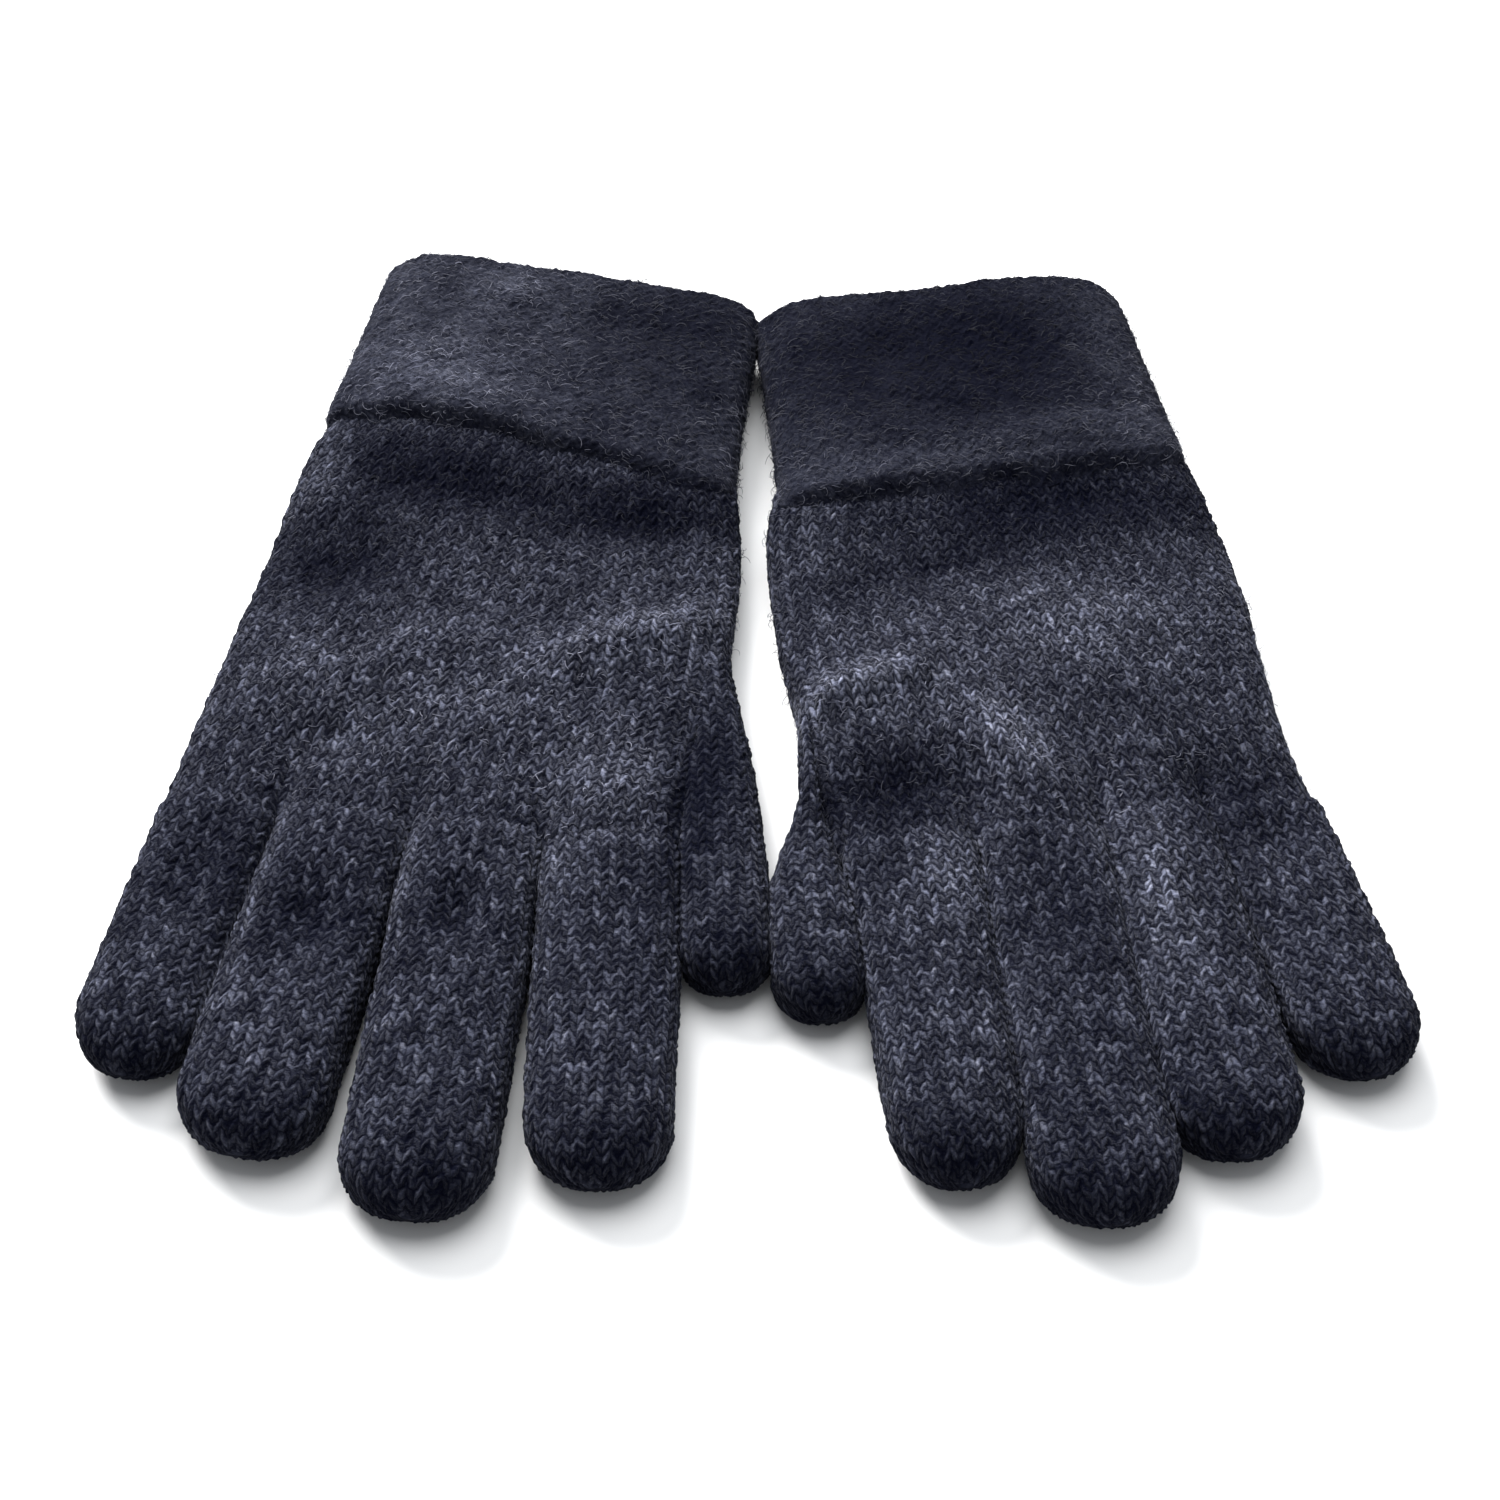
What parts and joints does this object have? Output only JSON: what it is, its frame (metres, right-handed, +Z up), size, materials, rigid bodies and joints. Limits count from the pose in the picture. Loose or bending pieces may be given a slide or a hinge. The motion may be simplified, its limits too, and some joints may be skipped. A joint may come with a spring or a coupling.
{
  "type": "touchscreen gloves",
  "caption": "Pair of thick knitted wool gloves lying palms down, with turned-up cuffs and conductive fingertips; each digit folds at its root and knuckle.",
  "frame": {"origin": "middle of the pair's footprint, on the surface that the palms lie on", "axes": "+Y from the fingertips towards the cuffs, +X towards the left-hand glove's little finger, +Z up, out of the backs of the hands"},
  "size_m": [0.231, 0.2508, 0.017],
  "materials": {
    "glove_knit": "heathered wool stockinette, slightly fuzzy",
    "cuff_knit": "brushed purl side of the same wool, fuzzy",
    "touch_yarn": "wool plated with fine conductive yarn",
    "elastic": "covered rubber thread"
  },
  "bodies": {
    "right_glove": {"right_hand_tube": "glove_knit", "right_wrist_tube": "glove_knit", "right_cuff_elastic": "elastic", "right_turned_cuff": "cuff_knit"},
    "left_glove": {"left_hand_tube": "glove_knit", "left_wrist_tube": "glove_knit", "left_cuff_elastic": "elastic", "left_turned_cuff": "cuff_knit"},
    "right_thumb_base": {"right_thumb_base_tube": "glove_knit"},
    "right_thumb_end": {"right_thumb_end_tube": "glove_knit", "right_thumb_touch_tip": "touch_yarn"},
    "right_index_base": {"right_index_base_tube": "glove_knit"},
    "right_index_end": {"right_index_end_tube": "glove_knit", "right_index_touch_tip": "touch_yarn"},
    "right_middle_base": {"right_middle_base_tube": "glove_knit"},
    "right_middle_end": {"right_middle_end_tube": "glove_knit", "right_middle_touch_tip": "touch_yarn"},
    "right_ring_base": {"right_ring_base_tube": "glove_knit"},
    "right_ring_end": {"right_ring_end_tube": "glove_knit"},
    "right_little_base": {"right_little_base_tube": "glove_knit"},
    "right_little_end": {"right_little_end_tube": "glove_knit"},
    "left_thumb_base": {"left_thumb_base_tube": "glove_knit"},
    "left_thumb_end": {"left_thumb_end_tube": "glove_knit", "left_thumb_touch_tip": "touch_yarn"},
    "left_index_base": {"left_index_base_tube": "glove_knit"},
    "left_index_end": {"left_index_end_tube": "glove_knit", "left_index_touch_tip": "touch_yarn"},
    "left_middle_base": {"left_middle_base_tube": "glove_knit"},
    "left_middle_end": {"left_middle_end_tube": "glove_knit", "left_middle_touch_tip": "touch_yarn"},
    "left_ring_base": {"left_ring_base_tube": "glove_knit"},
    "left_ring_end": {"left_ring_end_tube": "glove_knit"},
    "left_little_base": {"left_little_base_tube": "glove_knit"},
    "left_little_end": {"left_little_end_tube": "glove_knit"}
  },
  "joints": [
    {"name": "left_glove_lift", "type": "slide", "parent": "right_glove", "child": "left_glove", "axis": [0, 0, 1], "range_m": [0, 0.05]},
    {"name": "right_thumb_root_fold", "type": "hinge", "parent": "right_glove", "child": "right_thumb_base", "pos_m": [-0.00543, -0.02878, 0.0065], "axis": [-0.9995, -0.0307, 0], "range_deg": [0, 45]},
    {"name": "right_thumb_knuckle_fold", "type": "hinge", "parent": "right_thumb_base", "child": "right_thumb_end", "pos_m": [-0.0048, -0.04911, 0.0065], "axis": [-0.9995, -0.0307, 0], "range_deg": [-90, 0]},
    {"name": "right_index_root_fold", "type": "hinge", "parent": "right_glove", "child": "right_index_base", "pos_m": [-0.02423, -0.04835, 0.0065], "axis": [-1, -0.0019, 0], "range_deg": [0, 45]},
    {"name": "right_index_knuckle_fold", "type": "hinge", "parent": "right_index_base", "child": "right_index_end", "pos_m": [-0.02418, -0.0802, 0.0065], "axis": [-1, -0.0019, 0], "range_deg": [-90, 0]},
    {"name": "right_middle_root_fold", "type": "hinge", "parent": "right_glove", "child": "right_middle_base", "pos_m": [-0.04929, -0.04483, 0.0065], "axis": [-0.9981, 0.0618, 0], "range_deg": [0, 45]},
    {"name": "right_middle_knuckle_fold", "type": "hinge", "parent": "right_middle_base", "child": "right_middle_end", "pos_m": [-0.05155, -0.08138, 0.0065], "axis": [-0.9981, 0.0618, 0], "range_deg": [-90, 0]},
    {"name": "right_ring_root_fold", "type": "hinge", "parent": "right_glove", "child": "right_ring_base", "pos_m": [-0.07345, -0.04143, 0.0065], "axis": [-0.9889, 0.1489, 0], "range_deg": [0, 45]},
    {"name": "right_ring_knuckle_fold", "type": "hinge", "parent": "right_ring_base", "child": "right_ring_end", "pos_m": [-0.07829, -0.07357, 0.0065], "axis": [-0.9889, 0.1489, 0], "range_deg": [-90, 0]},
    {"name": "right_little_root_fold", "type": "hinge", "parent": "right_glove", "child": "right_little_base", "pos_m": [-0.09771, -0.03802, 0.0065], "axis": [-0.9877, 0.1561, 0], "range_deg": [0, 45]},
    {"name": "right_little_knuckle_fold", "type": "hinge", "parent": "right_little_base", "child": "right_little_end", "pos_m": [-0.10177, -0.06371, 0.0065], "axis": [-0.9877, 0.1561, 0], "range_deg": [-90, 0]},
    {"name": "left_thumb_root_fold", "type": "hinge", "parent": "left_glove", "child": "left_thumb_base", "pos_m": [0.00909, -0.02861, 0.0065], "axis": [-0.9948, -0.1021, 0], "range_deg": [0, 45]},
    {"name": "left_thumb_knuckle_fold", "type": "hinge", "parent": "left_thumb_base", "child": "left_thumb_end", "pos_m": [0.01149, -0.052, 0.0065], "axis": [-0.9948, -0.1021, 0], "range_deg": [-90, 0]},
    {"name": "left_index_root_fold", "type": "hinge", "parent": "left_glove", "child": "left_index_base", "pos_m": [0.02997, -0.04789, 0.0065], "axis": [-0.9971, -0.0758, 0], "range_deg": [0, 45]},
    {"name": "left_index_knuckle_fold", "type": "hinge", "parent": "left_index_base", "child": "left_index_end", "pos_m": [0.0324, -0.07987, 0.0065], "axis": [-0.9971, -0.0758, 0], "range_deg": [-90, 0]},
    {"name": "left_middle_root_fold", "type": "hinge", "parent": "left_glove", "child": "left_middle_base", "pos_m": [0.05404, -0.04451, 0.0065], "axis": [-0.9974, -0.0718, 0], "range_deg": [0, 45]},
    {"name": "left_middle_knuckle_fold", "type": "hinge", "parent": "left_middle_base", "child": "left_middle_end", "pos_m": [0.05672, -0.08175, 0.0065], "axis": [-0.9974, -0.0718, 0], "range_deg": [-90, 0]},
    {"name": "left_ring_root_fold", "type": "hinge", "parent": "left_glove", "child": "left_ring_base", "pos_m": [0.07513, -0.04154, 0.0065], "axis": [-0.9942, -0.1073, 0], "range_deg": [0, 45]},
    {"name": "left_ring_knuckle_fold", "type": "hinge", "parent": "left_ring_base", "child": "left_ring_end", "pos_m": [0.07862, -0.07387, 0.0065], "axis": [-0.9942, -0.1073, 0], "range_deg": [-90, 0]},
    {"name": "left_little_root_fold", "type": "hinge", "parent": "left_glove", "child": "left_little_base", "pos_m": [0.09612, -0.03859, 0.0065], "axis": [-0.9828, -0.1847, 0], "range_deg": [0, 45]},
    {"name": "left_little_knuckle_fold", "type": "hinge", "parent": "left_little_base", "child": "left_little_end", "pos_m": [0.10093, -0.06418, 0.0065], "axis": [-0.9828, -0.1847, 0], "range_deg": [-90, 0]}
  ],
  "couplings": [
    {"joint": "right_thumb_knuckle_fold", "follows": "right_thumb_root_fold", "ratio": -2},
    {"joint": "right_index_knuckle_fold", "follows": "right_index_root_fold", "ratio": -2},
    {"joint": "right_middle_knuckle_fold", "follows": "right_middle_root_fold", "ratio": -2},
    {"joint": "right_ring_knuckle_fold", "follows": "right_ring_root_fold", "ratio": -2},
    {"joint": "right_little_knuckle_fold", "follows": "right_little_root_fold", "ratio": -2},
    {"joint": "left_thumb_knuckle_fold", "follows": "left_thumb_root_fold", "ratio": -2},
    {"joint": "left_index_knuckle_fold", "follows": "left_index_root_fold", "ratio": -2},
    {"joint": "left_middle_knuckle_fold", "follows": "left_middle_root_fold", "ratio": -2},
    {"joint": "left_ring_knuckle_fold", "follows": "left_ring_root_fold", "ratio": -2},
    {"joint": "left_little_knuckle_fold", "follows": "left_little_root_fold", "ratio": -2}
  ]
}
